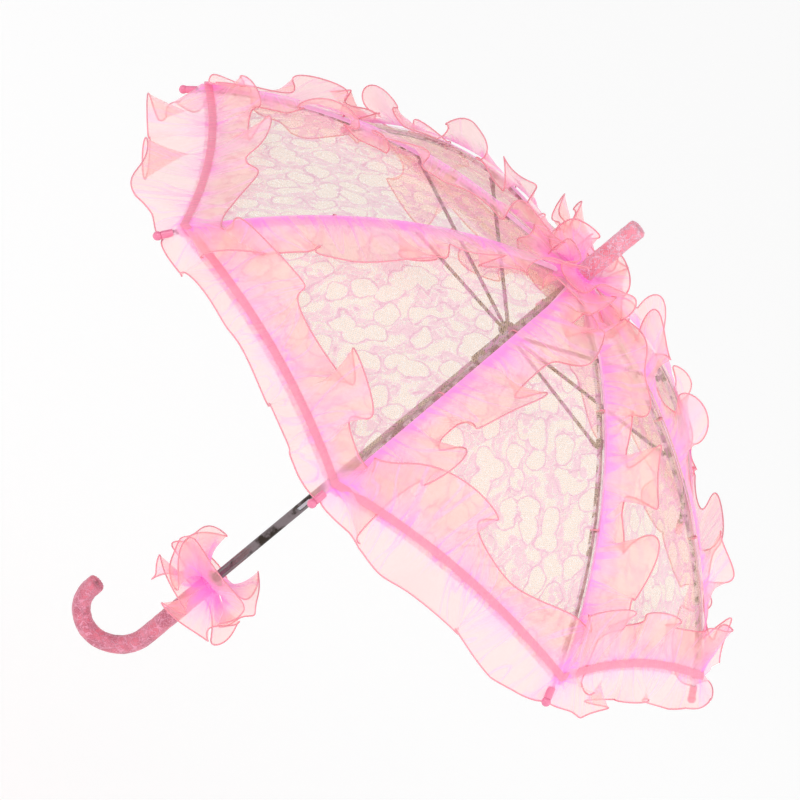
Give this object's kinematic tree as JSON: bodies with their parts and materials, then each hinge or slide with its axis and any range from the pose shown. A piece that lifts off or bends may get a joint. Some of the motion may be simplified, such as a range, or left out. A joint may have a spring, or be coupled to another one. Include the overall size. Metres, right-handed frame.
{
  "type": "lace parasol",
  "caption": "Open lace parasol with a crook handle, steel ribs and stretchers, a sliding runner, and organza ruffles along the ribs and hem; it folds along the shaft.",
  "frame": {"origin": "on the shaft's axis in the middle of the handle's straight grip", "axes": "+Z runs along the shaft towards the ferrule, the crook opens towards -X, the first rib lies along +X, and the catches are at -Y"},
  "size_m": [0.7588, 0.7588, 0.6788],
  "materials": {
    "dark_steel": "dark gunmetal enamel on a steel tube, glossy",
    "bright_steel": "bright plated steel",
    "grey_steel": "dull grey plated steel",
    "spring_steel": "spring steel leaf",
    "dark_fitting": "blackened steel clip with its rivet",
    "pink_ball": "glossy pink plastic",
    "lace_over_satin": "pink lace drawn over salmon pink satin on a stiff core",
    "lace": "cream net lace with pink floral figures, translucent",
    "organza": "sheer pink organza with rolled deep pink edges"
  },
  "bodies": {
    "frame": {"shaft": "dark_steel", "handle": "lace_over_satin", "ferrule": "lace_over_satin", "top_notch": "grey_steel", "notch_wire": "bright_steel", "shaft_pins": "bright_steel", "apex_rosette": "organza", "handle_rosette": "organza"},
    "runner": {"runner": "grey_steel", "runner_wire": "bright_steel"},
    "top_catch": {"top_catch": "spring_steel"},
    "bottom_catch": {"bottom_catch": "spring_steel"},
    "rib_1": {"rib_1": "bright_steel", "rib_joint_1": "dark_fitting", "rib_tip_1": "pink_ball", "canopy_1": "lace", "ruffle_1": "organza"},
    "stretcher_1": {"stretcher_1": "grey_steel"},
    "rib_2": {"rib_2": "bright_steel", "rib_joint_2": "dark_fitting", "rib_tip_2": "pink_ball", "canopy_2": "lace", "ruffle_2": "organza"},
    "stretcher_2": {"stretcher_2": "grey_steel"},
    "rib_3": {"rib_3": "bright_steel", "rib_joint_3": "dark_fitting", "rib_tip_3": "pink_ball", "canopy_3": "lace", "ruffle_3": "organza"},
    "stretcher_3": {"stretcher_3": "grey_steel"},
    "rib_4": {"rib_4": "bright_steel", "rib_joint_4": "dark_fitting", "rib_tip_4": "pink_ball", "canopy_4": "lace", "ruffle_4": "organza"},
    "stretcher_4": {"stretcher_4": "grey_steel"},
    "rib_5": {"rib_5": "bright_steel", "rib_joint_5": "dark_fitting", "rib_tip_5": "pink_ball", "canopy_5": "lace", "ruffle_5": "organza"},
    "stretcher_5": {"stretcher_5": "grey_steel"},
    "rib_6": {"rib_6": "bright_steel", "rib_joint_6": "dark_fitting", "rib_tip_6": "pink_ball", "canopy_6": "lace", "ruffle_6": "organza"},
    "stretcher_6": {"stretcher_6": "grey_steel"},
    "rib_7": {"rib_7": "bright_steel", "rib_joint_7": "dark_fitting", "rib_tip_7": "pink_ball", "canopy_7": "lace", "ruffle_7": "organza"},
    "stretcher_7": {"stretcher_7": "grey_steel"},
    "rib_8": {"rib_8": "bright_steel", "rib_joint_8": "dark_fitting", "rib_tip_8": "pink_ball", "canopy_8": "lace", "ruffle_8": "organza"},
    "stretcher_8": {"stretcher_8": "grey_steel"}
  },
  "joints": [
    {"name": "canopy_fold", "type": "hinge", "parent": "frame", "child": "rib_1", "pos_m": [0.008, 0, 0.5], "axis": [0, 1, 0], "range_deg": [0, 60], "deforming": ["canopy_1", "canopy_2", "canopy_3", "canopy_4", "canopy_5", "canopy_6", "canopy_7", "canopy_8", "ruffle_1", "ruffle_2", "ruffle_3", "ruffle_4", "ruffle_5", "ruffle_6", "ruffle_7", "ruffle_8", "top_catch", "bottom_catch"]},
    {"name": "rib_2_fold", "type": "hinge", "parent": "frame", "child": "rib_2", "pos_m": [0.00566, 0.00566, 0.5], "axis": [-0.7071, 0.7071, 0], "range_deg": [0, 60]},
    {"name": "rib_3_fold", "type": "hinge", "parent": "frame", "child": "rib_3", "pos_m": [0, 0.008, 0.5], "axis": [-1, 0, 0], "range_deg": [0, 60]},
    {"name": "rib_4_fold", "type": "hinge", "parent": "frame", "child": "rib_4", "pos_m": [-0.00566, 0.00566, 0.5], "axis": [-0.7071, -0.7071, 0], "range_deg": [0, 60]},
    {"name": "rib_5_fold", "type": "hinge", "parent": "frame", "child": "rib_5", "pos_m": [-0.008, 0, 0.5], "axis": [0, -1, 0], "range_deg": [0, 60]},
    {"name": "rib_6_fold", "type": "hinge", "parent": "frame", "child": "rib_6", "pos_m": [-0.00566, -0.00566, 0.5], "axis": [0.7071, -0.7071, 0], "range_deg": [0, 60]},
    {"name": "rib_7_fold", "type": "hinge", "parent": "frame", "child": "rib_7", "pos_m": [0, -0.008, 0.5], "axis": [1, 0, 0], "range_deg": [0, 60]},
    {"name": "rib_8_fold", "type": "hinge", "parent": "frame", "child": "rib_8", "pos_m": [0.00566, -0.00566, 0.5], "axis": [0.7071, 0.7071, 0], "range_deg": [0, 60]},
    {"name": "stretcher_1_swing", "type": "hinge", "parent": "rib_1", "child": "stretcher_1", "pos_m": [0.16699, 0, 0.46202], "axis": [0, -1, 0], "range_deg": [0, 120]},
    {"name": "stretcher_2_swing", "type": "hinge", "parent": "rib_2", "child": "stretcher_2", "pos_m": [0.11808, 0.11808, 0.46202], "axis": [0.7071, -0.7071, 0], "range_deg": [0, 120]},
    {"name": "stretcher_3_swing", "type": "hinge", "parent": "rib_3", "child": "stretcher_3", "pos_m": [0, 0.16699, 0.46202], "axis": [1, 0, 0], "range_deg": [0, 120]},
    {"name": "stretcher_4_swing", "type": "hinge", "parent": "rib_4", "child": "stretcher_4", "pos_m": [-0.11808, 0.11808, 0.46202], "axis": [0.7071, 0.7071, 0], "range_deg": [0, 120]},
    {"name": "stretcher_5_swing", "type": "hinge", "parent": "rib_5", "child": "stretcher_5", "pos_m": [-0.16699, 0, 0.46202], "axis": [0, 1, 0], "range_deg": [0, 120]},
    {"name": "stretcher_6_swing", "type": "hinge", "parent": "rib_6", "child": "stretcher_6", "pos_m": [-0.11808, -0.11808, 0.46202], "axis": [-0.7071, 0.7071, 0], "range_deg": [0, 120]},
    {"name": "stretcher_7_swing", "type": "hinge", "parent": "rib_7", "child": "stretcher_7", "pos_m": [0, -0.16699, 0.46202], "axis": [-1, 0, 0], "range_deg": [0, 120]},
    {"name": "stretcher_8_swing", "type": "hinge", "parent": "rib_8", "child": "stretcher_8", "pos_m": [0.11808, -0.11808, 0.46202], "axis": [-0.7071, -0.7071, 0], "range_deg": [0, 120]},
    {"name": "runner_follow", "type": "hinge", "parent": "stretcher_1", "child": "runner", "pos_m": [0.008, 0, 0.42403], "axis": [0, 1, 0], "range_deg": [0, 60]},
    {"name": "top_catch_press", "type": "hinge", "parent": "frame", "child": "top_catch", "pos_m": [0, -0.0022, 0.35653], "axis": [-1, 0, 0], "range_deg": [0, 7], "stiffness_Nm_per_rad": 0.6, "springref_deg": -1.72},
    {"name": "bottom_catch_press", "type": "hinge", "parent": "frame", "child": "bottom_catch", "pos_m": [0, -0.0022, 0.18314], "axis": [1, 0, 0], "range_deg": [0, 7], "stiffness_Nm_per_rad": 0.6, "springref_deg": -1.72}
  ],
  "couplings": [
    {"joint": "rib_2_fold", "follows": "canopy_fold", "ratio": 1},
    {"joint": "rib_3_fold", "follows": "canopy_fold", "ratio": 1},
    {"joint": "rib_4_fold", "follows": "canopy_fold", "ratio": 1},
    {"joint": "rib_5_fold", "follows": "canopy_fold", "ratio": 1},
    {"joint": "rib_6_fold", "follows": "canopy_fold", "ratio": 1},
    {"joint": "rib_7_fold", "follows": "canopy_fold", "ratio": 1},
    {"joint": "rib_8_fold", "follows": "canopy_fold", "ratio": 1},
    {"joint": "stretcher_1_swing", "follows": "canopy_fold", "ratio": 2},
    {"joint": "stretcher_2_swing", "follows": "canopy_fold", "ratio": 2},
    {"joint": "stretcher_3_swing", "follows": "canopy_fold", "ratio": 2},
    {"joint": "stretcher_4_swing", "follows": "canopy_fold", "ratio": 2},
    {"joint": "stretcher_5_swing", "follows": "canopy_fold", "ratio": 2},
    {"joint": "stretcher_6_swing", "follows": "canopy_fold", "ratio": 2},
    {"joint": "stretcher_7_swing", "follows": "canopy_fold", "ratio": 2},
    {"joint": "stretcher_8_swing", "follows": "canopy_fold", "ratio": 2},
    {"joint": "runner_follow", "follows": "canopy_fold", "ratio": 1}
  ]
}
